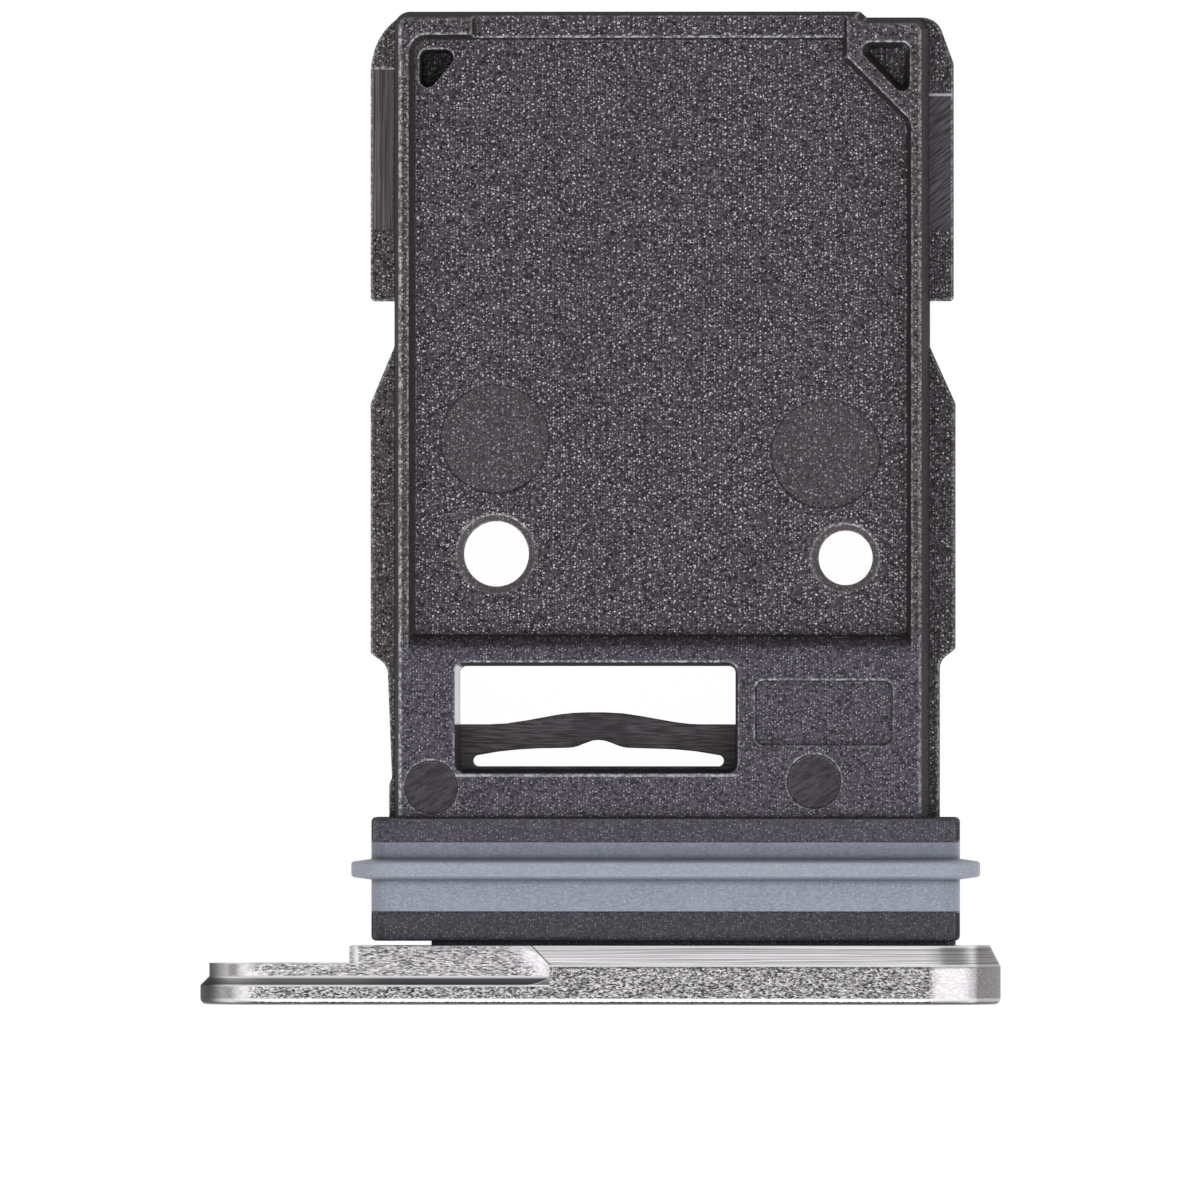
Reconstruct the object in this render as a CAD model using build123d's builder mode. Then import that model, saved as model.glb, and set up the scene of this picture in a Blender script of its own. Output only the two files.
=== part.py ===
from build123d import *
import os
from math import acos, atan, degrees

# Card tray for a phone. Millimetres. X runs along the cap, Y from the cap's outer face into
# the phone, Z up. The origin is the middle of the cap's outer face.

# Card that the tray carries in a pocket on its underside, and the play it has there
card_width = 8.80
card_length = 12.30
card_cut = 1.65
card_side_gap = 0.075
card_end_gap = 0.01
pocket_depth = 0.70
pocket_corner = 0.20

# Layers of the moulding, counted from the pocket's ceiling at Z = 0
web = 0.37
recess_depth = 0.38
lip_rise = 0.15
rail_drop = 0.05
rail_thickness = 0.55

# Plan of the walls
body_offset = 1.092
side_wall = 0.300
wall_lean = 0.112
rim_width = 0.174
rim_edge = 0.03
rim_edge_angle = 45.0
tip_wall = 0.418
tip_step = 0.107
tip_step_from_side = 1.245
tip_step_run = 0.125
wall_corner = 0.28

# Rails: a lower pair with lead-ins, and an upper pair that ends in the tip's corners
rail_reach = 0.426
lower_right_reach = 0.458
right_ledge_reach = 0.178
left_ledge_reach = 0.125
left_ledge_lean = 0.08
right_rail_root = 2.79
left_rail_root = 2.71
rail_root_rise = 0.21
rail_root_fillet = 0.30
lower_rail_end = 7.38
lead_in_length = 1.02
rail_notch = 0.81
rail_corner = 0.08
right_bevel_length = 0.82
right_bevel_reach = 0.30
right_bevel_round = 0.36
left_round_length = 1.116
left_round_reach = 0.893

# Stub of the gate that the moulding was fed through, on the left beside the neck
gate_reach = 0.094
gate_length = 0.58
gate_slope = 0.12

# Recess on the upper side, with one corner filled in and a low lip at the tip
deck_length = 3.25
tip_land = 0.30
recess_lean = 0.09
recess_corner = 0.33
nose_radius = 0.36
block_leg = 1.145
block_straight = 0.40
lip_from_side = 1.13

# Triangular cores that keep the two front corners thin
deep_core_from_side = 0.175
deep_core_from_tip = 0.263
deep_core_width = 0.78
deep_core_length = 0.95
deep_core_skin = 0.30
deep_core_lean = 0.04
shallow_core_from_side = 0.022
shallow_core_from_tip = 0.14
shallow_core_width = 1.06
shallow_core_length = 1.10
shallow_core_depth = 0.48
shallow_core_lean = 0.10
core_round = 0.15

# Through holes and round ejector marks: across from the centre line, along from the neck, radius
holes = [(-2.944, 4.697, 0.584), (3.294, 4.625, 0.486)]
hole_bevel = 0.125
floor_marks = [(-2.960, 6.748, 0.973), (2.948, 6.478, 0.977)]
deck_marks = [(-4.085, 0.532, 0.478), (2.752, 0.635, 0.484)]
mark_depth = 0.03

# Window over the sprung bar, and the bar that presses the card towards the tip
window_shift = -1.138
window_width = 5.06
window_length = 1.985
window_from_neck = 0.778
window_corner = 0.19
window_lean = 0.07
bar_offset = 1.653
bar_thickness = 0.422
bump_height = 0.214
bump_aside = 0.062
bump_top = 0.30
bump_ramp = 1.75
slot_width = 4.50
slot_ledge = 0.125
slot_end_radius = 0.10
slot_end_angle = 12.0
slot_arch_rise = 0.13
slot_arch_crest = 0.24
slot_arch_width = 1.20

# Bare code plate sunk in the deck
plate_shift = 2.93
plate_width = 2.46
plate_length = 1.16
plate_from_neck = 1.28
plate_corner = 0.17
plate_depth = 0.08

# Neck that carries the seal, and the pad on it that meets the cap
neck_offset = 1.168
neck_width = 10.48
neck_height = 1.84
neck_corner = 0.45
neck_length = 2.209
neck_gap = 0.085
neck_edge = 0.085
front_collar = 0.448
rear_collar = 0.528
pad_from_left = 1.08
pad_from_right = 0.08
pad_height = 1.30

# Seal round the neck
seal_depth = 0.30
lip_reach = 0.36
lip_root = 0.37
lip_tip = 0.27
lip_from_collar = 0.748
lip_round = 0.06

# End cap with its tongue, which the neck is moulded round
cap_length = 14.30
cap_height = 2.62
cap_depth = 1.054
cap_front_round = 0.12
cap_bevel_depth = 0.375
cap_bevel_inset = 0.19
step_start = 0.343
step_inset = 0.16
step_length = 5.80
step_cutter = 1.00
ledge_depth = 0.739
ledge_length = 2.704
block_corner = 0.20
eject_from_end = 1.382
eject_radius = 0.58
eject_rim = 0.072
tongue_depth = 1.55
tongue_thickness = 0.70
tongue_wall = 0.40
tongue_corner = 0.30

# Heights
floor_top = web
deck_top = floor_top + recess_depth
lip_top = floor_top + lip_rise
rail_top = -rail_drop
underside = -pocket_depth

# Half widths of the moulding, from its own centre line
pocket_half = card_width / 2 + card_side_gap
wall_half = pocket_half + side_wall
rail_half = wall_half + rail_reach
lower_right = wall_half + lower_right_reach
recess_half = wall_half - wall_lean - rim_width

# Places along the tray
neck_start = cap_depth + neck_gap
neck_end = neck_start + neck_length
seal_start = neck_start + rear_collar
seal_end = neck_end - front_collar
body_start = neck_end - front_collar / 2
window_start = neck_end + window_from_neck
bar_front = neck_end + bar_offset
bar_back = bar_front - bar_thickness
recess_foot = neck_end + deck_length
pocket_end = bar_front + card_length + card_end_gap
tip = pocket_end + tip_wall
stepped_tip = tip - tip_step
recess_end = tip - wall_lean - tip_land
step_x = wall_half - tip_step_from_side

# Drafts
wall_draft = degrees(atan(wall_lean / (deck_top - rail_top)))
recess_draft = degrees(atan(recess_lean / recess_depth))
window_draft = degrees(atan(window_lean / deck_top))

same_place = 0.001


def facing_cap(y):
    """Plane at this distance from the cap's outer face, with its normal towards the cap."""
    return Plane.XZ.offset(-y)


def on_body(z):
    """Horizontal plane at this height, with X counted from the moulding's centre line."""
    return Plane((body_offset, 0, z))


def neck_section(y, inset=0):
    """Rounded section of the neck, drawn in by inset."""
    with BuildSketch(facing_cap(y)) as section:
        with Locations((neck_offset, 0)):
            RectangleRounded(neck_width - 2 * inset, neck_height - 2 * inset, neck_corner - inset)
    return section.sketch


def corner_triangle(z, corner, across, along):
    """Rounded triangle that runs across and along from its square corner."""
    with BuildSketch(on_body(z)) as triangle:
        with BuildLine():
            Polyline(
                corner,
                (corner[0] + across, corner[1]),
                (corner[0], corner[1] + along),
                close=True,
            )
        make_face()
        fillet(triangle.vertices(), radius=core_round)
    return triangle.sketch


def corners_at(outline, *places):
    """Corners of a sketch that lie this far along the tray."""
    return outline.vertices().filter_by(lambda v: any(abs(v.Y - y) < same_place for y in places))


def discs(z, places):
    """Round marks at these places on a level of the moulding."""
    with BuildSketch(on_body(z)) as marks:
        for across, along, radius in places:
            with Locations((across, neck_end + along)):
                Circle(radius)
    return marks.sketch


# Recess on the upper side, as a solid to cut away
with BuildPart() as recess:
    nose_start = recess_foot - nose_radius
    block_x = recess_half - block_leg
    block_y = recess_end - block_straight
    with BuildSketch(on_body(deck_top)) as recess_outline:
        with BuildLine():
            Polyline(
                (-recess_half, nose_start),
                (recess_half, nose_start),
                (recess_half, block_y - block_leg),
                (block_x, block_y),
                (block_x, recess_end),
                (-recess_half, recess_end),
                close=True,
            )
        make_face()
        fillet(recess_outline.vertices().group_by(Axis.Y)[-1].sort_by(Axis.X)[0], radius=recess_corner)
    extrude(amount=-recess_depth, taper=recess_draft)
    extrude(recess_outline.sketch, amount=recess_depth)
    # The deck rolls down into the recess over a quarter round
    with BuildSketch(Plane.YZ.offset(body_offset)):
        with BuildLine():
            CenterArc((nose_start, deck_top - nose_radius), nose_radius, 0, 90)
            Polyline(
                (nose_start, deck_top),
                (nose_start - nose_radius, deck_top),
                (nose_start - nose_radius, underside),
                (recess_foot, underside),
                (recess_foot, deck_top - nose_radius),
            )
        make_face()
    extrude(amount=wall_half, both=True, mode=Mode.SUBTRACT)

# Neck of the tray body: two collars with the seal's groove between them, and a pad that meets the cap
with BuildPart() as neck:
    extrude(neck_section(neck_start), amount=-rear_collar)
    extrude(neck_section(seal_end), amount=-front_collar)
    fillet(neck.edges().group_by(Axis.Y)[0], radius=neck_edge)
    fillet(neck.edges().group_by(Axis.Y)[-1], radius=neck_edge)
    extrude(neck_section(seal_start, seal_depth), amount=seal_start - seal_end)
    pad_left = neck_offset - neck_width / 2 + pad_from_left
    pad_right = neck_offset + neck_width / 2 - pad_from_right
    with BuildSketch(facing_cap(neck_start)):
        with Locations(((pad_left + pad_right) / 2, 0)):
            Rectangle(pad_right - pad_left, pad_height)
    extrude(amount=neck_gap)

# Tray body
with BuildPart() as tray_body:
    # Side and tip walls, leaning in above the rails
    with BuildSketch(on_body(rail_top)) as wall_outline:
        with BuildLine():
            Polyline(
                (-wall_half, body_start),
                (wall_half, body_start),
                (wall_half, stepped_tip),
                (step_x + tip_step_run, stepped_tip),
                (step_x, tip),
                (-wall_half, tip),
                close=True,
            )
        make_face()
        wall_corners = wall_outline.vertices().filter_by(lambda v: v.Y > pocket_end).sort_by(Axis.X)
        fillet([wall_corners[0], wall_corners[-1]], radius=wall_corner)
    extrude(amount=deck_top - rim_edge - rail_top, taper=wall_draft)
    extrude(tray_body.faces().sort_by(Axis.Z)[-1], amount=rim_edge, taper=rim_edge_angle)
    extrude(wall_outline.sketch, amount=underside - rail_top)

    # Rails, and the ledges between them and the neck
    right_root = neck_end + right_rail_root
    left_root = neck_end + left_rail_root
    lower_end = neck_end + lower_rail_end
    notch_start = lower_end + lead_in_length
    notch_end = notch_start + rail_notch
    right_ledge = wall_half + right_ledge_reach
    left_ledge = wall_half + left_ledge_reach
    gate_half = wall_half + gate_reach
    gate_end = neck_end + gate_length
    with BuildSketch(on_body(rail_top)) as rail_outline:
        with BuildLine():
            left_round = EllipticalCenterArc(
                (left_round_reach - rail_half, tip - left_round_length),
                left_round_reach,
                left_round_length,
                start_angle=90,
                arc_size=90,
            )
            Polyline(
                (-gate_half, body_start),
                (right_ledge, body_start),
                (right_ledge, right_root),
                (lower_right, right_root + rail_root_rise),
                (lower_right, lower_end),
                (wall_half, notch_start),
                (wall_half, notch_end),
                (rail_half, notch_end),
                (rail_half, stepped_tip - right_bevel_length),
                (rail_half - right_bevel_reach, stepped_tip),
                (step_x + tip_step_run, stepped_tip),
                (step_x, tip),
                left_round @ 0,
            )
            Polyline(
                left_round @ 1,
                (-rail_half, notch_end),
                (-wall_half, notch_end),
                (-wall_half, notch_start),
                (-rail_half, lower_end),
                (-rail_half, left_root + rail_root_rise),
                (-left_ledge, left_root),
                (left_ledge_lean - left_ledge, gate_end + gate_slope),
                (-gate_half, gate_end),
                (-gate_half, body_start),
            )
        make_face()
        fillet(corners_at(rail_outline, right_root, left_root), radius=rail_root_fillet)
        starts = corners_at(rail_outline, right_root + rail_root_rise, left_root + rail_root_rise)
        notch_corners = corners_at(rail_outline, notch_end).sort_by(Axis.X)
        fillet(starts + [notch_corners[0], notch_corners[-1]], radius=rail_corner)
        tip_corners = rail_outline.vertices().filter_by(lambda v: v.Y > pocket_end).sort_by(Axis.X)
        fillet(tip_corners[-1], radius=right_bevel_round)
    extrude(amount=-rail_thickness)
    add(neck.part)

    # Card pocket underneath: one corner stays filled for the card's cut corner, and the sprung
    # bar's bump reaches in from the end
    with BuildSketch(on_body(underside)) as pocket_outline:
        with BuildLine():
            Polyline(
                (-pocket_half, bar_front),
                (pocket_half, bar_front),
                (pocket_half, pocket_end),
                (card_cut - pocket_half, pocket_end),
                (-pocket_half, pocket_end - card_cut),
                close=True,
            )
        make_face()
        square = pocket_outline.vertices().group_by(Axis.Y)
        fillet(square[0] + square[-1].sort_by(Axis.X)[-1:], radius=pocket_corner)
        with BuildLine():
            bump_x = window_shift - bump_aside
            bump_foot = bump_top / 2 + bump_ramp
            bump_front = bar_front + bump_height
            rise = Spline(
                (bump_x - bump_foot, bar_front),
                (bump_x - bump_top / 2, bump_front),
                tangents=[(1, 0), (1, 0)],
            )
            fall = Spline(
                (bump_x + bump_top / 2, bump_front),
                (bump_x + bump_foot, bar_front),
                tangents=[(1, 0), (1, 0)],
            )
            Line(rise @ 1, fall @ 0)
            Line(fall @ 1, rise @ 0)
        make_face(mode=Mode.SUBTRACT)
    extrude(amount=pocket_depth, mode=Mode.SUBTRACT)

    # Window in the deck, and the slot behind the bar that lets it give
    with BuildSketch(on_body(deck_top)):
        with Locations((window_shift, window_start + window_length / 2)):
            RectangleRounded(window_width, window_length, window_corner)
    extrude(amount=-deck_top, taper=window_draft, mode=Mode.SUBTRACT)
    slot_start = window_start + slot_ledge
    slot_reach = slot_width / 2 - slot_end_radius
    slot_end_y = slot_start + slot_end_radius
    slot_sweep = 180 - slot_end_angle
    with BuildSketch(on_body(underside)):
        with BuildLine():
            right_end = CenterArc((window_shift + slot_reach, slot_end_y), slot_end_radius, -90, slot_sweep)
            left_end = CenterArc((window_shift - slot_reach, slot_end_y), slot_end_radius, 270, -slot_sweep)
            arch = Spline(
                (window_shift + slot_arch_width / 2, bar_back),
                (window_shift + slot_arch_crest / 2, bar_back + slot_arch_rise),
                (window_shift - slot_arch_crest / 2, bar_back + slot_arch_rise),
                (window_shift - slot_arch_width / 2, bar_back),
                tangents=[(-1, 0), (-1, 0)],
            )
            Spline(right_end @ 1, arch @ 0, tangents=[right_end % 1, (-1, 0)])
            Spline(left_end @ 1, arch @ 1, tangents=[left_end % 1, (1, 0)])
            Line(left_end @ 0, right_end @ 0)
        make_face()
    extrude(amount=pocket_depth, mode=Mode.SUBTRACT)

    # Recess on top, and the tip's wall cut down to a low lip between its two corners
    add(recess.part, mode=Mode.SUBTRACT)
    lip_left = lip_from_side - recess_half
    with BuildSketch(on_body(deck_top)):
        with Locations(((lip_left + block_x) / 2, tip)):
            Rectangle(block_x - lip_left, 2 * (tip - recess_end + recess_lean + recess_corner))
    extrude(amount=lip_top - deck_top, taper=recess_draft, mode=Mode.SUBTRACT)

    # Cores in the front corners
    deep_core_depth = floor_top - underside - deep_core_skin
    deep_corner = (deep_core_from_side - recess_half, recess_end - deep_core_from_tip)
    extrude(
        corner_triangle(floor_top, deep_corner, deep_core_width, -deep_core_length),
        amount=-deep_core_depth,
        taper=degrees(atan(deep_core_lean / deep_core_depth)),
        mode=Mode.SUBTRACT,
    )
    shallow_corner = (recess_half - shallow_core_from_side, recess_end - shallow_core_from_tip)
    extrude(
        corner_triangle(deck_top, shallow_corner, -shallow_core_width, -shallow_core_length),
        amount=-shallow_core_depth,
        taper=degrees(atan(shallow_core_lean / shallow_core_depth)),
        mode=Mode.SUBTRACT,
    )

    # Bevelled through holes, ejector marks and the bare code plate
    for across, along, radius in holes:
        with Locations((body_offset + across, neck_end + along, floor_top)):
            CounterSinkHole(radius, radius + hole_bevel, counter_sink_angle=90)
    extrude(discs(floor_top, floor_marks), amount=-mark_depth, mode=Mode.SUBTRACT)
    extrude(discs(deck_top, deck_marks), amount=-mark_depth, mode=Mode.SUBTRACT)
    with BuildSketch(on_body(deck_top)):
        with Locations((plate_shift, neck_end + plate_from_neck + plate_length / 2)):
            RectangleRounded(plate_width, plate_length, plate_corner)
    extrude(amount=-plate_depth, mode=Mode.SUBTRACT)

# Tongue on the back of the cap
with BuildPart() as tongue:
    tongue_left = pad_left + tongue_wall
    tongue_right = neck_offset + neck_width / 2 - seal_depth - tongue_wall
    tongue_end = cap_depth + tongue_depth
    with BuildSketch(Plane.XY) as tongue_outline:
        with Locations(((tongue_left + tongue_right) / 2, (cap_depth + tongue_end) / 2)):
            Rectangle(tongue_right - tongue_left, tongue_depth)
        fillet(tongue_outline.vertices().group_by(Axis.Y)[-1], radius=tongue_corner)
    extrude(amount=tongue_thickness / 2, both=True)

with tray_body:
    add(tongue.part, mode=Mode.SUBTRACT)

# Seal ring
with BuildPart() as seal_ring:
    lip_y = seal_start + lip_from_collar
    extrude(neck_section(seal_start), amount=seal_start - seal_end)
    lip_rear = neck_section(lip_y - lip_tip / 2, -lip_reach)
    lip_front = neck_section(lip_y + lip_tip / 2, -lip_reach)
    extrude(lip_rear, amount=-lip_tip)
    loft([neck_section(lip_y - lip_root / 2), lip_rear])
    loft([lip_front, neck_section(lip_y + lip_root / 2)])
    tip_edges = seal_ring.edges().filter_by(
        lambda edge: abs(abs(edge.center().Y - lip_y) - lip_tip / 2) < same_place
    )
    fillet(tip_edges, radius=lip_round)
    extrude(neck_section(seal_start, seal_depth), amount=seal_start - seal_end, mode=Mode.SUBTRACT)

# Step milled round the cap's left end, as the solid that its cutter takes away
with BuildPart() as step_cut:
    half_height = cap_height / 2
    pill_end = cap_length / 2 - half_height
    core_radius = half_height - step_inset
    run_start = step_length - cap_length / 2
    run_angle = degrees(acos(1 - step_inset / step_cutter))
    with BuildLine(facing_cap(step_start + step_inset)) as step_path:
        CenterArc((run_start, -core_radius - step_cutter), step_cutter, 90 - run_angle, run_angle)
        Line((run_start, -core_radius), (-pill_end, -core_radius))
        CenterArc((-pill_end, 0), core_radius, 270, -180)
        Line((-pill_end, core_radius), (run_start, core_radius))
        CenterArc((run_start, core_radius + step_cutter), step_cutter, 270, run_angle)
    with BuildSketch(Plane(step_path.wire() @ 0, x_dir=(0, 1, 0), z_dir=step_path.wire() % 0)):
        with BuildLine():
            Polyline(
                (0, 0),
                (cap_depth, 0),
                (cap_depth, cap_height / 2),
                (-cap_height / 2, cap_height / 2),
                close=True,
            )
        make_face()
    sweep(path=step_path.wire())

# End cap
with BuildPart() as end_cap:
    with BuildSketch(facing_cap(0)):
        SlotOverall(cap_length, cap_height)
    extrude(amount=-cap_depth)
    front_edges = end_cap.faces().sort_by(Axis.Y)[0].edges()
    fillet(front_edges, radius=cap_front_round)
    back_face = end_cap.faces().sort_by(Axis.Y)[-1]
    chamfer(back_face.edges(), length=cap_bevel_inset, length2=cap_bevel_depth, reference=back_face)
    add(step_cut.part, mode=Mode.SUBTRACT)
    # Lower ledge at the left end, with the eject hole in it
    with BuildSketch(facing_cap(ledge_depth)) as ledge_cut:
        block_left = ledge_length - cap_length / 2
        with Locations((block_left - cap_length / 2, 0)):
            Rectangle(cap_length, 2 * cap_height)
    extrude(amount=ledge_depth - 2 * cap_depth, mode=Mode.SUBTRACT)
    block_edges = end_cap.edges().filter_by(Axis.Y).filter_by(
        lambda edge: abs(edge.center().X - block_left) < same_place
    )
    fillet(block_edges, radius=block_corner)
    with Locations(Plane((eject_from_end - cap_length / 2, 0, 0), z_dir=(0, -1, 0))):
        CounterSinkHole(eject_radius, eject_radius + eject_rim, counter_sink_angle=90)
    add(tongue.part)

pieces = {"tray_body": tray_body, "seal_ring": seal_ring, "end_cap": end_cap}
os.makedirs("parts", exist_ok=True)
for name, piece in pieces.items():
    piece.part.label = name
    export_step(piece.part, f"parts/{name}.step")
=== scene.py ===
import bpy
from math import cos, radians, sin
from types import SimpleNamespace
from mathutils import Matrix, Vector


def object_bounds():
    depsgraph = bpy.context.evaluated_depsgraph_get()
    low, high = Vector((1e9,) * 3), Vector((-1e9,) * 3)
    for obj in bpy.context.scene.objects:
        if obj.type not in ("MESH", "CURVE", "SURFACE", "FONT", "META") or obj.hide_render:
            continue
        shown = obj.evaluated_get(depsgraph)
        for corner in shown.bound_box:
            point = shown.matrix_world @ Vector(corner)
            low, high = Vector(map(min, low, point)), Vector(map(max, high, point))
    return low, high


# Looks of the card tray. The frame is in metres, and sizes below are in millimetres.
MM = 0.001

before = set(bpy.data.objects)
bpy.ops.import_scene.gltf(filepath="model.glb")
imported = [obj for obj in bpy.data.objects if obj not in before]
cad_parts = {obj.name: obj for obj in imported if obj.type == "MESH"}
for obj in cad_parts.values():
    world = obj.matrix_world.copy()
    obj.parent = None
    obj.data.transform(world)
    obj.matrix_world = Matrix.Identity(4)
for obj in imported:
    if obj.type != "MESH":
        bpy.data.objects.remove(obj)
cad_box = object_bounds()

# Camera: the photograph's square frame, seen almost straight down through a long lens
PHOTO_PIXELS = 1200
PIXELS_PER_MM = 56.0
ORIGIN_PIXEL = (600.4, 1004.4)
LENS = 1500.0
SENSOR = 36.0
CAMERA_TILT = 2.3
NEAREST = 1.0
FARTHEST = 10000.0

# Light: a dim dome and square lamps, each with its name, its direction counted from +X towards +Y and its
# elevation in degrees, its width, and its power in watts
DOME = 0.2
LAMP_DISTANCE = 260.0
LAMPS = [
    ("key", 200, 58, 300, 0.28),
    ("front", 262, 44, 70, 0.15),
    ("right", 358, 47, 330, 0.36),
    ("back", 88, 36, 150, 0.055),
]

# White floor, just under the part
FLOOR_GAP = 0.02
FLOOR_HALF = 1000.0
FLOOR_COLOUR = (0.85, 0.85, 0.85, 1.0)
FLOOR_GLOW = 1.02
FLOOR_GLOW_SHARE = 0.97

# Softness of outlines: of areas, of thin lines, and along the tray's walls
SOFT = 0.01
LINE_SOFT = 0.008
WALL_SOFT = 0.02

# Places on the moulding: its centre line across, the end of its neck along, and its levels
TRAY_X = 1.092
NECK_END = 3.348
SEAL_END = 2.9
RECESS_FOOT = 6.598
FOOT_ROUND = 0.1
TIP = 17.729
FLOOR_TOP = 0.37
WALL_HALF = 4.775
LEFT_WALL = TRAY_X - WALL_HALF
RIGHT_WALL = TRAY_X + WALL_HALF
OUTSIDE = 9.0
WINDOW_X = TRAY_X - 1.138
WINDOW_WIDTH = 5.06
WINDOW_SIDES = (WINDOW_X - WINDOW_WIDTH / 2, WINDOW_X + WINDOW_WIDTH / 2)
WINDOW_NEAR = NECK_END + 0.778
WINDOW_LENGTH = 1.985
BAR_FRONT = 5.001
BAR_SPOT = (-0.51, 0.50)
LIP_MIDDLE = 2.415

# Round ejector marks and through holes: across from the centre line, along from the neck, radius
DECK_MARKS = [(-4.085, 0.532, 0.478), (2.752, 0.635, 0.484)]
FLOOR_MARKS = [(-2.960, 6.748, 0.973), (2.948, 6.478, 0.977)]
HOLES = [(-2.944, 4.697, 0.584), (3.294, 4.625, 0.486)]
RING = 0.16

# Stretches of the upper rails that were ground smooth, from and to along the tray, and the width of the
# highlights painted at their ends
LEFT_PATCH = (13.834, 16.70)
RIGHT_PATCH = (13.83, 16.264)
GLINT_LINE_WIDTH = 0.045

# Milled faces of the cap, counted from its outer face and its middle
CAP_BEVEL_START = 0.68
CAP_STEP_END = -0.86
CAP_STEP_SLANT = -0.13
CAP_STEP_START = 0.515
CAP_SHOULDER_START = 0.343
CAP_FRONT_ROUND = 0.12
CAP_DEPTH = 1.054
CAP_END = 7.15
CAP_STEP_CORNER = -4.45

# How far the light runs round an edge, and the samples that find it
EDGE_SAMPLES = 4
TRAY_EDGE = 0.07
SEAL_EDGE = 0.04
CAP_EDGE = 0.03

# How strongly the painted glints show on the moulding's grain, where the recess and the rails are 1
DECK_GLITTER = 0.72
COLLAR_GLITTER = 0.35
FLOOR_MARK_GLITTER = 0.5
POLISHED_GLITTER = 0.02

# Colours of the moulding's grain, from dark to pale, with the rims and the rails left of the tray paler as
# painted light
RECESS_DARK = (0.004, 0.003, 0.004)
RECESS_PALE = (0.099, 0.082, 0.100)
DECK_DARK = (0.018, 0.015, 0.022)
DECK_PALE = (0.120, 0.105, 0.138)
LEFT_RAIL_LIT_PALE = (0.136, 0.113, 0.129)
FLOOR_MARK_PALE = (0.125, 0.105, 0.119)
RIM_LIT_PALE = (0.150, 0.127, 0.149)
COLLAR_PALE = (0.130, 0.117, 0.150)

# Colours of its polished spots and steep walls, the inner walls darkened as painted shade, less where they
# face right
POLISHED_DARK = (0.026, 0.022, 0.026)
RIGHT_PATCH_PALE = (0.165, 0.145, 0.172)
LEFT_PATCH_PALE = (0.196, 0.166, 0.184)
BAR_PALE = (0.104, 0.090, 0.101)
DECK_MARK_PALE = (0.082, 0.072, 0.088)
BAR_SPOT_PALE = (0.074, 0.064, 0.074)
INNER_WALL_SHADED = (0.055, 0.046, 0.048)
INNER_WALL_LIT = (0.090, 0.075, 0.073)
OUTER_WALL = (0.110, 0.096, 0.102)
# Painted reflection of the white floor on the window's wall that faces right
WINDOW_WALL_REFLECTION = (0.98, 0.99, 1.0)

# Colours laid over both: painted glints, highlights and shade, and pale rings round the holes
SPECK_GLINT = (0.96, 0.94, 1.0)
GLINT = (0.92, 0.92, 0.98)
SHADE = (0.012, 0.009, 0.009)
RAIL_SHADE = (0.012, 0.009, 0.010)
RING_PALE = (0.150, 0.128, 0.130)
COLLAR_HIGHLIGHT = (0.36, 0.34, 0.38)
CORNER_SHADE = (0.010, 0.008, 0.009)
REAR_SHADE = (0.014, 0.012, 0.015)

# Colours of the seal, with a painted highlight on the lip and painted shade beyond it and in the corners
SEAL_DARK = (0.236, 0.262, 0.338)
SEAL_PALE = (0.372, 0.402, 0.497)
SEAL_MOTTLE = (0.38, 0.405, 0.47)
SEAL_DUST = (0.75, 0.77, 0.82)
SEAL_LIP_HIGHLIGHT = (0.56, 0.58, 0.64)
SEAL_SHADE = (0.085, 0.092, 0.115)
SEAL_CORNER_SHADE = (0.05, 0.056, 0.07)

# Colours of the cap, with painted shade and painted highlights
BLASTED_DARK = (0.04, 0.038, 0.04)
BEVEL_DARK = (0.44, 0.425, 0.44)
STEP_DARK = (0.08, 0.077, 0.08)
METAL_PALE = (1.0, 0.965, 1.0)
METAL_SHADE = (0.06, 0.052, 0.053)
METAL_HIGHLIGHT = (0.95, 0.95, 0.95)


class Nodes:
    """Node tree of one new material."""

    def __init__(self, name):
        self.material = bpy.data.materials.new(name)
        self.material.use_nodes = True
        self.tree = self.material.node_tree
        self.tree.nodes.clear()

    def node(self, kind, **settings):
        made = self.tree.nodes.new(kind)
        for name, value in settings.items():
            setattr(made, name, value)
        return made

    def feed(self, socket, value):
        """Links a socket to another one, or sets it to a plain value."""
        if isinstance(value, bpy.types.NodeSocket):
            self.tree.links.new(value, socket)
        else:
            socket.default_value = value

    def feed_all(self, sockets, values):
        for socket, value in zip(sockets, values):
            self.feed(socket, value)

    def finish(self, shader):
        self.feed(self.node("ShaderNodeOutputMaterial").inputs["Surface"], shader.outputs[0])

    def math(self, operation, *values, clamp=False):
        made = self.node("ShaderNodeMath", operation=operation, use_clamp=clamp)
        self.feed_all(made.inputs, values)
        return made.outputs[0]

    def times(self, *values):
        product = values[0]
        for value in values[1:]:
            product = self.math("MULTIPLY", product, value)
        return product

    def any_of(self, masks):
        total = masks[0]
        for mask in masks[1:]:
            total = self.math("MAXIMUM", total, mask)
        return total


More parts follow.
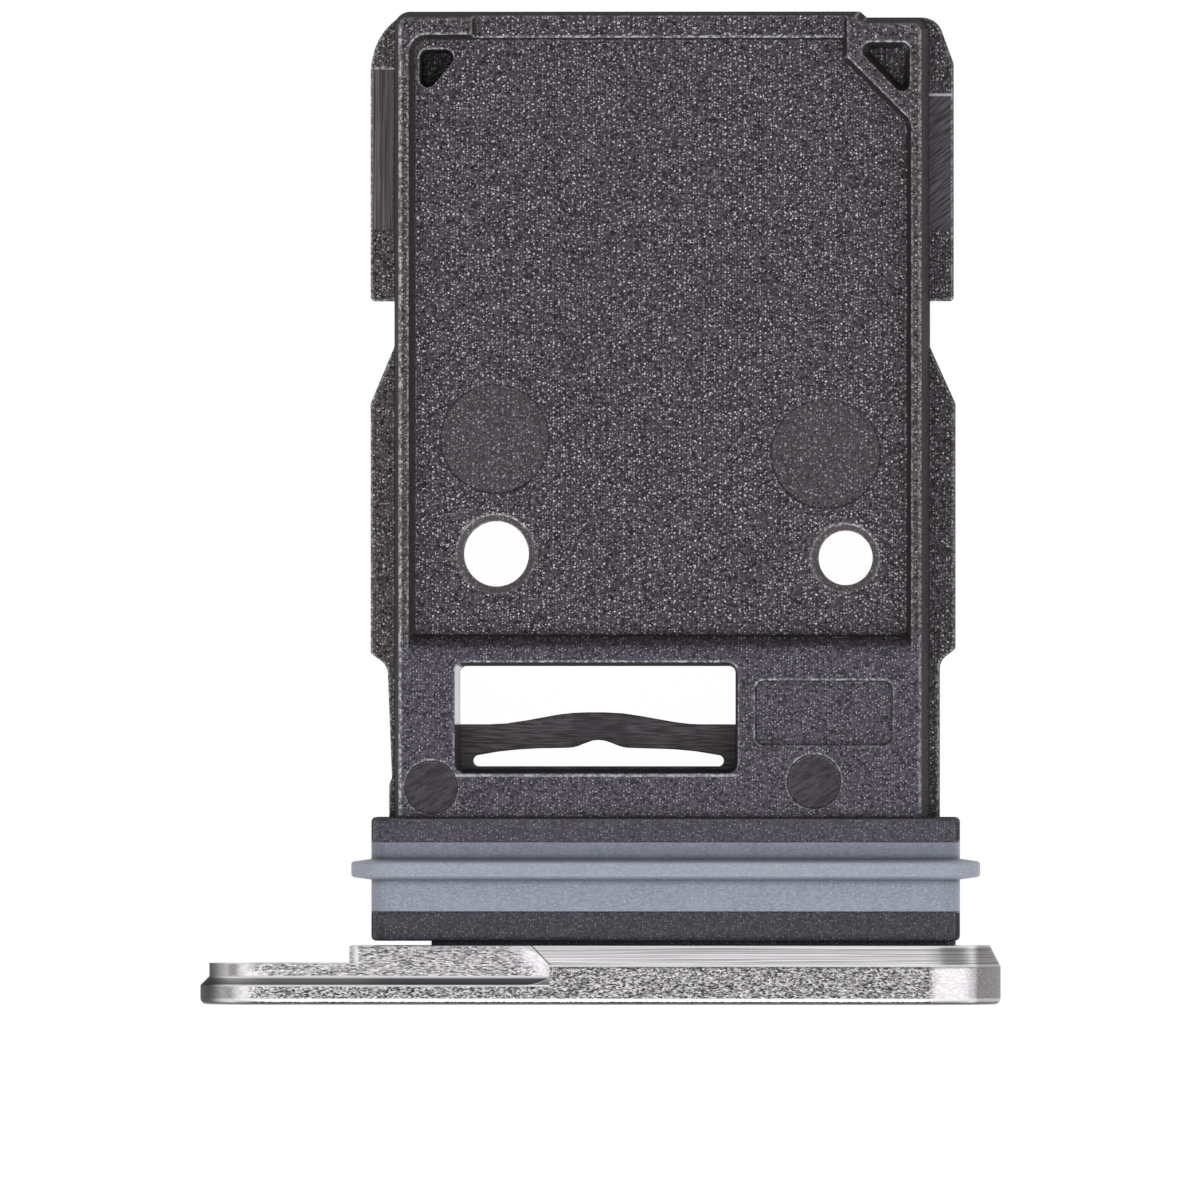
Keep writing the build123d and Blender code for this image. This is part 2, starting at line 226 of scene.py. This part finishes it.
class Surface(Nodes):
    """Finish of one piece, which knows the part's own coordinates in millimetres."""

    def __init__(self, name):
        super().__init__(name)
        self.shader = self.node("ShaderNodeBsdfPrincipled")
        self.finish(self.shader)
        coordinates = self.node("ShaderNodeTexCoord")
        self.place = self.vector("SCALE", coordinates.outputs["Object"], scale=1 / MM)
        self.x, self.y, self.z = self.parts(self.place)
        self.facing = self.node("ShaderNodeNewGeometry").outputs["True Normal"]
        self.aside, self.along, self.up = self.parts(self.facing)

    def set(self, **values):
        """Sets the shader's own sockets, named with _ for a space."""
        for name, value in values.items():
            self.feed(self.shader.inputs[name.replace("_", " ")], value)

    def without(self, mask):
        return self.math("SUBTRACT", 1.0, mask, clamp=True)

    def vector(self, operation, *values, scale=None):
        made = self.node("ShaderNodeVectorMath", operation=operation)
        self.feed_all(made.inputs, values)
        if scale is not None:
            self.feed(made.inputs["Scale"], scale)
        return made.outputs["Value" if operation in ("DISTANCE", "DOT_PRODUCT") else "Vector"]

    def parts(self, vector):
        """The vector's three numbers."""
        made = self.node("ShaderNodeSeparateXYZ")
        self.feed(made.inputs[0], vector)
        return made.outputs

    def ramp(self, value, start, end, low=0.0, high=1.0):
        """Goes smoothly from low at start to high at end."""
        made = self.node("ShaderNodeMapRange", interpolation_type="SMOOTHSTEP")
        self.feed_all(made.inputs, (value, start, end, low, high))
        return made.outputs[0]

    def beyond(self, value, start, soft=SOFT):
        """0 below start and 1 above it."""
        return self.ramp(value, start - soft, start + soft)

    def before(self, value, end, soft=SOFT):
        """1 below end and 0 above it."""
        return self.ramp(value, end + soft, end - soft)

    def band(self, value, start, end, soft=LINE_SOFT):
        """1 where the value lies between start and end, and 0 elsewhere."""
        return self.times(self.beyond(value, start, soft), self.before(value, end, soft))

    def within(self, left, right, near, far):
        """1 inside a rectangle of the plan and 0 outside."""
        return self.times(self.band(self.x, left, right, SOFT), self.band(self.y, near, far, SOFT))

    def mix(self, factor, first, second):
        """Plain number between first and second."""
        made = self.node("ShaderNodeMix", data_type="FLOAT")
        self.feed_all((made.inputs[0], made.inputs[2], made.inputs[3]), (factor, first, second))
        return made.outputs[0]

    def tint(self, factor, first, second):
        """Colour between first and second, each a socket or three numbers."""
        made = self.node("ShaderNodeMix", data_type="RGBA")
        colours = [(*value, 1.0) if isinstance(value, tuple) else value for value in (first, second)]
        self.feed_all((made.inputs[0], made.inputs[6], made.inputs[7]), (factor, *colours))
        return made.outputs[2]

    def painted(self, body, layers):
        """Lays colours over body in turn, each where its mask says."""
        for mask, colour in layers:
            body = self.tint(mask, body, colour)
        return body

    def stretched(self, size, stretch, turn):
        """The part's coordinates in units of size, drawn out by stretch after a turn about Z."""
        turned = self.node("ShaderNodeMapping")
        self.feed(turned.inputs["Vector"], self.place)
        turned.inputs["Rotation"].default_value = (0, 0, radians(turn))
        scaled = [1 / (size * factor) for factor in stretch]
        return self.vector("MULTIPLY", turned.outputs[0], scaled)

    def noise(self, size, detail=2.0, roughness=0.5, stretch=(1, 1, 1), turn=0.0):
        """Noise with features of about this size in millimetres."""
        made = self.node("ShaderNodeTexNoise")
        self.feed(made.inputs["Vector"], self.stretched(size, stretch, turn))
        self.feed(made.inputs["Scale"], 1.0)
        self.feed(made.inputs["Detail"], detail)
        self.feed(made.inputs["Roughness"], roughness)
        return made.outputs["Fac"]

    def cells(self, size, stretch=(1, 1, 1), shift=0.0, dimensions="3D"):
        """Scattered cells of about this size: distance from each one's middle, and a number of its own."""
        made = self.node("ShaderNodeTexVoronoi", voronoi_dimensions=dimensions)
        places = self.vector("ADD", self.stretched(size, stretch, 0.0), (shift, shift, 0))
        self.feed(made.inputs["Vector"], places)
        self.feed(made.inputs["Scale"], 1.0)
        own = self.node("ShaderNodeSeparateColor")
        self.feed(own.inputs[0], made.outputs["Color"])
        return made.outputs["Distance"], own.outputs[0]

    def flakes(self, size, stretch=(1, 1, 1)):
        """Crisp flakes of about this size, each with a brightness of its own."""
        return self.cells(size, stretch)[1]

    def specks(self, size, reach, rarity, shift=0.0):
        """Round specks scattered over the plan, about this far apart. The rarer, the fewer are bright."""
        away, own = self.cells(size, shift=shift, dimensions="2D")
        spot = self.ramp(away, reach / size, 0.3 * reach / size)
        return self.times(spot, self.math("POWER", own, rarity))

    def from_middle(self, across, along):
        """Distance, in plan, from a point counted from the tray's centre line and the neck."""
        flat = self.vector("MULTIPLY", self.place, (1, 1, 0))
        return self.vector("DISTANCE", flat, (TRAY_X + across, NECK_END + along, 0))

    def spots(self, places):
        """1 inside any of these circles and 0 outside."""
        return self.any_of([
            self.before(self.from_middle(across, along), radius) for across, along, radius in places
        ])

    def rims(self, places, width):
        """1 on the outline of any of these circles."""
        lines = []
        for across, along, radius in places:
            away = self.math("SUBTRACT", self.from_middle(across, along), radius)
            lines.append(self.ramp(self.math("ABSOLUTE", away), width, 0.0))
        return self.any_of(lines)

    def soft_edges(self, radius):
        """Normal that rounds sharp edges over, for the light only."""
        made = self.node("ShaderNodeBevel", samples=EDGE_SAMPLES)
        made.inputs["Radius"].default_value = radius * MM
        return made.outputs["Normal"]

    def turned(self, normal):
        """0 where the normal is the face's own, and more where it turns away from it."""
        return self.without(self.vector("DOT_PRODUCT", normal, self.facing))

    def crevice(self, reach):
        """1 deep in an inner corner and 0 on open faces."""
        made = self.node("ShaderNodeAmbientOcclusion", samples=EDGE_SAMPLES, only_local=True)
        made.inputs["Distance"].default_value = reach * MM
        return self.without(made.outputs["AO"])

    def bump(self, height, depth, normal):
        """Normal of a relief whose height runs from 0 to 1 over depth millimetres."""
        made = self.node("ShaderNodeBump")
        made.inputs["Strength"].default_value = 1.0
        made.inputs["Distance"].default_value = MM
        self.feed(made.inputs["Height"], self.times(height, depth))
        self.feed(made.inputs["Normal"], normal)
        return made.outputs["Normal"]


def moulding_areas(look):
    """Masks of the moulding's areas."""
    area = SimpleNamespace()
    area.collar = look.before(look.y, NECK_END)
    area.rear = look.ramp(look.y, SEAL_END, SEAL_END - 0.3)
    area.high = look.ramp(look.z, FLOOR_TOP + 0.2, FLOOR_TOP + 0.3)
    area.top = look.ramp(look.up, 0.8, 0.95)
    past_foot = look.ramp(look.y, RECESS_FOOT - FOOT_ROUND, RECESS_FOOT)
    area.deck = look.times(area.high, look.without(past_foot), look.without(area.collar))
    area.finer = look.any_of([area.deck, area.collar])
    area.rim = look.times(area.high, area.top, past_foot)
    area.foot = look.times(area.high, look.ramp(look.y, RECESS_FOOT - 3 * FOOT_ROUND, RECESS_FOOT))
    sunk = look.without(area.high)
    area.left_rail = look.times(look.before(look.x, LEFT_WALL, WALL_SOFT), sunk)
    area.right_rail = look.times(look.beyond(look.x, RIGHT_WALL, WALL_SOFT), sunk)

    # Smooth spots: round marks, ground stretches of the rails, the bar under the window, steep walls
    area.deck_mark = look.times(look.spots(DECK_MARKS), area.top)
    area.floor_mark = look.times(look.spots(FLOOR_MARKS), area.top)
    area.left_patch = look.within(-OUTSIDE, LEFT_WALL, *LEFT_PATCH)
    area.right_patch = look.within(RIGHT_WALL, OUTSIDE, *RIGHT_PATCH)
    in_window = look.within(*WINDOW_SIDES, WINDOW_NEAR, WINDOW_NEAR + WINDOW_LENGTH)
    area.bar = look.times(in_window, look.ramp(look.z, 0.06, 0.02))
    area.bar_spot = look.times(area.bar, look.band(look.x, *BAR_SPOT, soft=0.03))
    area.steep = look.ramp(look.math("ABSOLUTE", look.up), 0.5, 0.3)
    area.smooth = look.any_of([area.deck_mark, area.left_patch, area.right_patch, area.bar, area.steep])

    # Walls and slopes, by where they face
    beyond_bar = look.beyond(look.y, BAR_FRONT, WALL_SOFT)
    # The window's wall that faces right, which gets a painted reflection
    area.window_wall = look.times(
        in_window, beyond_bar, look.without(area.bar), look.ramp(look.aside, 0.5, 0.8)
    )
    area.to_right = look.ramp(look.aside, 0.3, 0.8)
    outwards = look.times(look.math("SUBTRACT", look.x, TRAY_X), look.aside)
    at_tip = look.times(look.ramp(look.y, TIP - 0.6, TIP - 0.4), look.ramp(look.along, 0.4, 0.7))
    area.outer = look.any_of([look.ramp(outwards, 4.0, 4.4), at_tip])
    rings = [(across, along, radius + RING) for across, along, radius in HOLES]
    area.ring = look.times(look.spots(rings), look.ramp(look.up, 0.98, 0.9))
    area.far_slope = look.times(
        look.ramp(look.up, 0.98, 0.85), look.ramp(look.along, 0.1, 0.4), look.without(area.ring)
    )
    return area


def moulding_glint_specks(look, area):
    """Specks painted bright as glints on the grain: coarse in the recess and on the rails, finer on the deck
    and the neck.
    """
    coarse = look.any_of([
        look.specks(0.048, 0.017, rarity=3.5),
        look.specks(0.09, 0.025, rarity=4.0, shift=5.0),
    ])
    fine = look.specks(0.05, 0.017, rarity=3.0, shift=9.0)
    strength = look.mix(area.deck, 1.0, DECK_GLITTER)
    strength = look.mix(area.collar, strength, COLLAR_GLITTER)
    strength = look.mix(area.floor_mark, strength, FLOOR_MARK_GLITTER)
    strength = look.mix(area.smooth, strength, POLISHED_GLITTER)
    return look.times(look.mix(area.finer, coarse, fine), strength)


def moulding_shade(look, area):
    """Grain from dark to pale, and on smooth spots the streaks left by grinding and polishing."""
    along_streaks = look.noise(0.02, detail=3.0, stretch=(1, 90, 1))
    across_streaks = look.noise(0.03, detail=3.0, stretch=(14, 1, 1))
    slanted_streaks = look.noise(0.024, detail=3.0, stretch=(20, 1, 1), turn=-38)
    scratches = look.noise(0.05, detail=4.0, roughness=0.7, stretch=(5, 1, 1), turn=-30)
    streaks = look.mix(area.left_patch, slanted_streaks, along_streaks)
    streaks = look.mix(area.deck_mark, streaks, scratches)
    streaks = look.mix(area.bar, streaks, across_streaks)
    ground = look.flakes(0.038)
    calm = look.any_of([area.collar, area.floor_mark])
    shade = look.mix(calm, ground, look.mix(0.5, ground, 0.5))
    return look.mix(area.smooth, shade, look.ramp(streaks, 0.32, 0.68))


def moulding_glints(look, area, edges, edge):
    """Painted highlights on the edges, in beads: most where they face the cap, and at the left where they
    face left.
    """
    lean_x, lean_y, _ = look.parts(edges)
    to_cap = look.ramp(lean_y, -0.05, -0.3)
    at_left = look.ramp(look.x, LEFT_WALL + 0.3, LEFT_WALL + 0.2)
    to_left = look.times(look.ramp(lean_x, -0.05, -0.3), at_left)
    to_tip = look.ramp(lean_y, 0.1, 0.35)
    beads = look.ramp(look.noise(0.06, detail=0.0), 0.48, 0.60)
    aside_glint = look.mix(to_left, look.mix(beads, 0.10, 0.45), look.mix(beads, 0.25, 1.0))
    glint = look.mix(to_cap, aside_glint, look.mix(beads, 0.22, 1.0))
    plain = look.any_of([area.collar, area.bar, look.rims(FLOOR_MARKS, 0.08)])
    glint = look.times(edge, glint, look.mix(to_tip, 1.0, 0.5), look.without(plain))
    # Painted highlights: lines at the far ends of the ground stretches and along the window's near edge
    left_end_glint = look.within(-OUTSIDE, LEFT_WALL, LEFT_PATCH[1], LEFT_PATCH[1] + GLINT_LINE_WIDTH)
    right_end_glint = look.within(RIGHT_WALL, OUTSIDE, RIGHT_PATCH[1] - GLINT_LINE_WIDTH, RIGHT_PATCH[1])
    window_edge_glint = look.within(*WINDOW_SIDES, WINDOW_NEAR - 1.3 * GLINT_LINE_WIDTH, WINDOW_NEAR - 0.3 * GLINT_LINE_WIDTH)
    lines = look.any_of([
        look.times(left_end_glint, beads),
        right_end_glint,
        look.times(window_edge_glint, look.mix(beads, 0.4, 0.9)),
    ])
    return look.any_of([glint, look.times(lines, area.top, 0.5)])


def moulding_ground(look, area, shade):
    """Colour of the grain and the smooth spots, with painted light on the rims and the left rails and
    painted shade on the inner walls, before more painted light and shade are laid over it.
    """
    dark = look.tint(area.finer, RECESS_DARK, DECK_DARK)
    dark = look.tint(area.smooth, dark, POLISHED_DARK)
    # Paler on the rails left of the tray and on the rims: painted light
    pale = look.painted(look.tint(area.finer, RECESS_PALE, DECK_PALE), [
        (area.left_rail, LEFT_RAIL_LIT_PALE),
        (area.floor_mark, FLOOR_MARK_PALE),
        (area.rim, RIM_LIT_PALE),
        (area.collar, COLLAR_PALE),
    ])
    # Inner walls darker: painted shade, less on walls that face right, which are painted as lit
    wall = look.tint(area.to_right, INNER_WALL_SHADED, INNER_WALL_LIT)
    wall = look.tint(area.outer, wall, OUTER_WALL)
    polished = look.painted(look.tint(area.left_patch, RIGHT_PATCH_PALE, LEFT_PATCH_PALE), [
        (area.bar, BAR_PALE),
        (area.deck_mark, DECK_MARK_PALE),
        (area.bar_spot, BAR_SPOT_PALE),
        (area.steep, wall),
    ])
    return look.tint(shade, dark, look.tint(area.smooth, pale, polished))


def tray_plastic():
    """Charcoal moulding with a spark-eroded grain, smooth where the tool was polished, with painted glints,
    highlights, shade and reflection.
    """
    look = Surface("tray_plastic")
    area = moulding_areas(look)
    # Bright specks on the grain, painted as glints; they also raise the relief
    glint_specks = moulding_glint_specks(look, area)
    edges = look.soft_edges(TRAY_EDGE)
    crevice = look.crevice(TRAY_EDGE)
    edge = look.times(look.ramp(look.turned(edges), 0.005, 0.035), look.ramp(crevice, 0.15, 0.0))

    # Painted shade on slopes that face the tip, at the recess's foot, in inner corners and along the floor
    # marks' outlines, less on walls that face right
    shaded = look.any_of([area.far_slope, look.times(area.foot, 0.45)])
    # Painted highlight along the collar's far edge
    collar_highlight = look.times(area.top, look.band(look.y, NECK_END - 0.055, NECK_END - 0.025))
    corners = look.any_of([look.ramp(crevice, 0.12, 0.5), look.times(look.rims(FLOOR_MARKS, 0.03), 0.6)])
    shade_share = look.times(look.mix(area.to_right, 0.6, 0.3), look.without(area.ring))
    # Laid over the ground: painted glints, painted shade on slopes and on the rails right of the tray, pale
    # hole rings, painted highlights on the collar and the edges, painted shade in corners and on the collar
    # near the cap, and a painted reflection on the window's wall
    body = look.painted(moulding_ground(look, area, moulding_shade(look, area)), [
        (glint_specks, SPECK_GLINT),
        (look.times(shaded, 0.6), SHADE),
        (look.times(area.right_rail, 0.22), RAIL_SHADE),
        (look.times(area.ring, 0.6), RING_PALE),
        (look.times(collar_highlight, 0.4), COLLAR_HIGHLIGHT),
        (moulding_glints(look, area, edges, edge), GLINT),
        (look.times(corners, shade_share), CORNER_SHADE),
        (look.times(area.collar, area.rear, 0.3), REAR_SHADE),
        (area.window_wall, WINDOW_WALL_REFLECTION),
    ])
    relief = look.math("ADD", look.times(look.noise(0.04), 0.6), look.times(glint_specks, 0.6))
    roughness = look.mix(area.steep, look.mix(area.smooth, 0.40, 0.46), 1.0)
    look.set(
        Base_Color=body,
        Roughness=look.mix(area.window_wall, look.mix(edge, roughness, 0.3), 0.2),
        Specular_IOR_Level=0.22,
        Normal=look.bump(relief, look.mix(area.smooth, 0.02, 0.004), edges),
    )
    return look.material


def seal_rubber():
    """Matte blue-grey silicone with a little dust, a painted highlight on the lip, and painted shade beyond
    the lip and in the corners.
    """
    look = Surface("seal_rubber")
    mottle = look.noise(0.5, detail=3.0)
    fine = look.noise(0.03, stretch=(2, 1, 1))
    dust = look.specks(0.08, 0.02, rarity=4.0)
    lip = look.band(look.y, LIP_MIDDLE - 0.15, LIP_MIDDLE + 0.15)
    beyond_lip = look.times(look.ramp(look.y, LIP_MIDDLE + 0.1, LIP_MIDDLE + 0.2), look.without(lip))
    # The dust is the seal's own colour. The lip's highlight and the shade beyond it and in the corners are
    # painted
    body = look.painted(look.tint(look.ramp(fine, 0.25, 0.75), SEAL_DARK, SEAL_PALE), [
        (look.times(look.ramp(mottle, 0.4, 0.7), 0.25), SEAL_MOTTLE),
        (look.times(dust, 0.45), SEAL_DUST),
        (look.times(lip, 0.2), SEAL_LIP_HIGHLIGHT),
        (look.times(beyond_lip, 0.30), SEAL_SHADE),
        (look.ramp(look.crevice(0.12), 0.08, 0.45), SEAL_CORNER_SHADE),
    ])
    look.set(
        Base_Color=body,
        Roughness=0.5,
        Normal=look.bump(fine, 0.006, look.soft_edges(SEAL_EDGE)),
    )
    return look.material


def cap_areas(look):
    """Masks of the cap's milled faces and of its two round ends."""
    area = SimpleNamespace()
    area.slant = look.math("ADD", look.x, look.y)
    area.stepped = look.times(look.before(area.slant, CAP_STEP_SLANT), look.before(look.x, CAP_STEP_END))
    area.full = look.without(area.stepped)
    area.bevel = look.times(look.beyond(look.y, CAP_BEVEL_START), area.full)
    area.step = look.times(area.stepped, look.beyond(look.y, CAP_STEP_START))
    area.shoulder = look.times(
        area.stepped, look.without(area.step), look.beyond(look.y, CAP_SHOULDER_START)
    )
    area.side = look.ramp(look.along, -0.9, -0.6)
    area.left_end = look.times(area.side, look.ramp(look.x, -CAP_END + 1.05, -CAP_END + 0.85))
    area.right_end = look.times(area.side, look.ramp(look.x, CAP_END - 1.28, CAP_END - 1.08))
    area.left_shade = look.times(area.side, look.ramp(look.x, -CAP_END + 0.65, -CAP_END + 0.15))
    area.right_shade = look.times(area.side, look.ramp(look.x, CAP_END - 0.5, CAP_END - 0.35))
    return area


def cap_highlight_lines(look, area):
    """Painted highlights: lines along the milled edges."""
    corner = look.band(look.x, CAP_STEP_CORNER + 0.06, CAP_STEP_CORNER + 0.17, soft=0.03)
    above_step = look.ramp(look.y, CAP_BEVEL_START + 0.02, CAP_BEVEL_START + 0.06)
    on_step = look.any_of([
        look.band(look.y, CAP_SHOULDER_START - 0.015, CAP_SHOULDER_START + 0.015),
        look.band(look.y, CAP_STEP_START - 0.04, CAP_STEP_START),
        look.times(corner, above_step, 0.8),
    ])
    on_bevel = look.any_of([
        look.band(look.y, CAP_BEVEL_START + 0.005, CAP_BEVEL_START + 0.035),
        look.band(look.y, CAP_DEPTH - 0.03, CAP_DEPTH),
    ])
    return look.any_of([
        look.band(look.y, 0.5 * CAP_FRONT_ROUND, 0.95 * CAP_FRONT_ROUND),
        look.times(area.stepped, on_step),
        look.times(area.full, on_bevel),
    ])


def cap_shaded_lines(look, area):
    """Painted shade on the dark sides of the milled edges, and on the two round ends."""
    front = look.ramp(look.y, 0.4 * CAP_FRONT_ROUND, 0.3 * CAP_FRONT_ROUND)
    under_bevel = look.band(look.y, CAP_BEVEL_START - 0.03, CAP_BEVEL_START)
    slant_line = look.band(area.slant, CAP_STEP_SLANT - 0.02, CAP_STEP_SLANT + 0.02)
    return look.any_of([
        look.times(front, look.ramp(look.along, -0.99, -0.93)),
        look.times(area.full, under_bevel, 0.6),
        look.times(slant_line, look.ramp(look.y, CAP_BEVEL_START, CAP_BEVEL_START + 0.05), 0.8),
        area.left_shade,
        look.times(area.right_shade, 0.55),
    ])


def cap_tone(look, area):
    """Grain from dark to pale, cutter lines on the bevel, a plain painted shade on the shoulder that is
    darker towards the front, and the round ends and the step's slanted end smoother and paler as a painted
    highlight.
    """
    grain = look.flakes(0.020, stretch=(1.9, 1, 1.2))
    brushed = look.flakes(0.017, stretch=(3.6, 1, 1.2))
    lines = look.noise(0.011, stretch=(300, 1, 300))
    # Smoother, and paler as a painted highlight, on the round ends and the step's slanted end
    slant_end = look.times(area.stepped, look.ramp(area.slant, CAP_STEP_SLANT - 0.55, CAP_STEP_SLANT - 0.2))
    smooth_and_highlit = look.any_of([area.left_end, area.right_end, slant_end])
    # Painted shade on the shoulder, darker towards the front
    across_shoulder = look.ramp(look.y, CAP_SHOULDER_START, CAP_STEP_START, 0.10, 0.35)
    tone = look.mix(area.step, look.math("POWER", grain, 1.55), look.math("POWER", brushed, 1.1))
    tone = look.mix(look.times(smooth_and_highlit, 0.7), tone, 0.95)
    tone = look.mix(area.bevel, tone, look.ramp(lines, 0.42, 0.58))
    tone = look.mix(area.shoulder, tone, across_shoulder)
    return look.mix(area.side, look.ramp(grain, 0.0, 1.0, 0.6, 0.9), tone)


def cap_metal():
    """Bead-blasted aluminium, with cutter lines on the bevel, a smooth shoulder along the milled step, and
    painted highlights and shade along its edges and ends.
    """
    look = Surface("cap_metal")
    area = cap_areas(look)
    edges = look.soft_edges(CAP_EDGE)
    shaded = cap_shaded_lines(look, area)
    # Painted highlights along the edges, which give way to the painted shade
    painted_highlight = look.any_of([cap_highlight_lines(look, area), look.ramp(look.turned(edges), 0.005, 0.05)])
    painted_highlight = look.times(painted_highlight, look.without(shaded))
    dark = look.painted(BLASTED_DARK, [(area.bevel, BEVEL_DARK), (area.step, STEP_DARK)])
    body = look.painted(look.tint(cap_tone(look, area), dark, METAL_PALE), [
        (look.times(shaded, 0.85), METAL_SHADE),
        (painted_highlight, METAL_HIGHLIGHT),
    ])
    ends = look.any_of([area.left_shade, area.right_shade])
    bare = look.any_of([area.bevel, area.shoulder])
    look.set(
        Base_Color=body,
        Metallic=look.mix(painted_highlight, 1.0, 0.2),
        Roughness=look.mix(ends, 0.3, 0.9),
        Normal=look.bump(look.noise(0.03), look.mix(bare, 0.003, 0.0), edges),
    )
    return look.material


def dress():
    finishes = {"tray_body": tray_plastic(), "seal_ring": seal_rubber(), "end_cap": cap_metal()}
    for name, finish in finishes.items():
        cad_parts[name].data.materials[0] = finish


def softbox(name, azimuth, elevation, size, power):
    """Square lamp that faces the part and isn't seen itself."""
    lamp = bpy.data.lights.new(name, "AREA")
    lamp.shape = "SQUARE"
    lamp.size = size * MM
    lamp.energy = power
    holder = bpy.data.objects.new(name, lamp)
    bpy.context.scene.collection.objects.link(holder)
    around, up = radians(azimuth), radians(elevation)
    away = Vector((cos(up) * cos(around), cos(up) * sin(around), sin(up)))
    middle = (Vector(cad_box[0]) + Vector(cad_box[1])) / 2
    holder.location = middle + away * LAMP_DISTANCE * MM
    holder.rotation_euler = away.to_track_quat("Z", "Y").to_euler()
    holder.visible_camera = False


def light():
    world = bpy.data.worlds.new("dome")
    bpy.context.scene.world = world
    world.use_nodes = True
    background = world.node_tree.nodes["Background"]
    background.inputs["Color"].default_value = (1.0, 1.0, 1.0, 1.0)
    background.inputs["Strength"].default_value = DOME
    for lamp in LAMPS:
        softbox(*lamp)


def floor_white():
    """White to the camera and in reflections. Light that falls on it meets a plain pale surface."""
    look = Nodes("floor")
    diffuse = look.node("ShaderNodeBsdfDiffuse")
    diffuse.inputs["Color"].default_value = FLOOR_COLOUR
    glow = look.node("ShaderNodeEmission")
    glow.inputs["Strength"].default_value = FLOOR_GLOW
    path = look.node("ShaderNodeLightPath").outputs
    seen = look.any_of([path["Is Camera Ray"], path["Is Glossy Ray"], path["Is Transmission Ray"]])
    mixed = look.node("ShaderNodeMixShader")
    look.feed_all(mixed.inputs, (look.times(seen, FLOOR_GLOW_SHARE), diffuse.outputs[0], glow.outputs[0]))
    look.finish(mixed)
    return look.material


def floor():
    """White surface under the part, which still takes the part's shadow."""
    low = cad_box[0][2] - FLOOR_GAP * MM
    half = FLOOR_HALF * MM
    mesh = bpy.data.meshes.new("floor")
    corners = [(-half, -half, low), (half, -half, low), (half, half, low), (-half, half, low)]
    mesh.from_pydata(corners, [], [(0, 1, 2, 3)])
    mesh.materials.append(floor_white())
    ground = bpy.data.objects.new("floor", mesh)
    bpy.context.scene.collection.objects.link(ground)


def camera():
    data = bpy.data.cameras.new("camera")
    data.lens = LENS
    data.sensor_width = SENSOR
    data.clip_start = NEAREST * MM
    data.clip_end = FARTHEST * MM
    view = bpy.data.objects.new("camera", data)
    bpy.context.scene.collection.objects.link(view)
    frame_width = PHOTO_PIXELS / PIXELS_PER_MM
    distance = frame_width * LENS / SENSOR
    middle_x = (PHOTO_PIXELS / 2 - ORIGIN_PIXEL[0]) / PIXELS_PER_MM
    middle_y = (ORIGIN_PIXEL[1] - PHOTO_PIXELS / 2) / PIXELS_PER_MM
    tilt = radians(CAMERA_TILT)
    view.location = Vector((middle_x + distance * sin(tilt), middle_y, distance * cos(tilt))) * MM
    view.rotation_euler = (0, tilt, 0)
    bpy.context.scene.camera = view


dress()
light()
floor()
camera()
bpy.context.scene.view_settings.view_transform = "Standard"
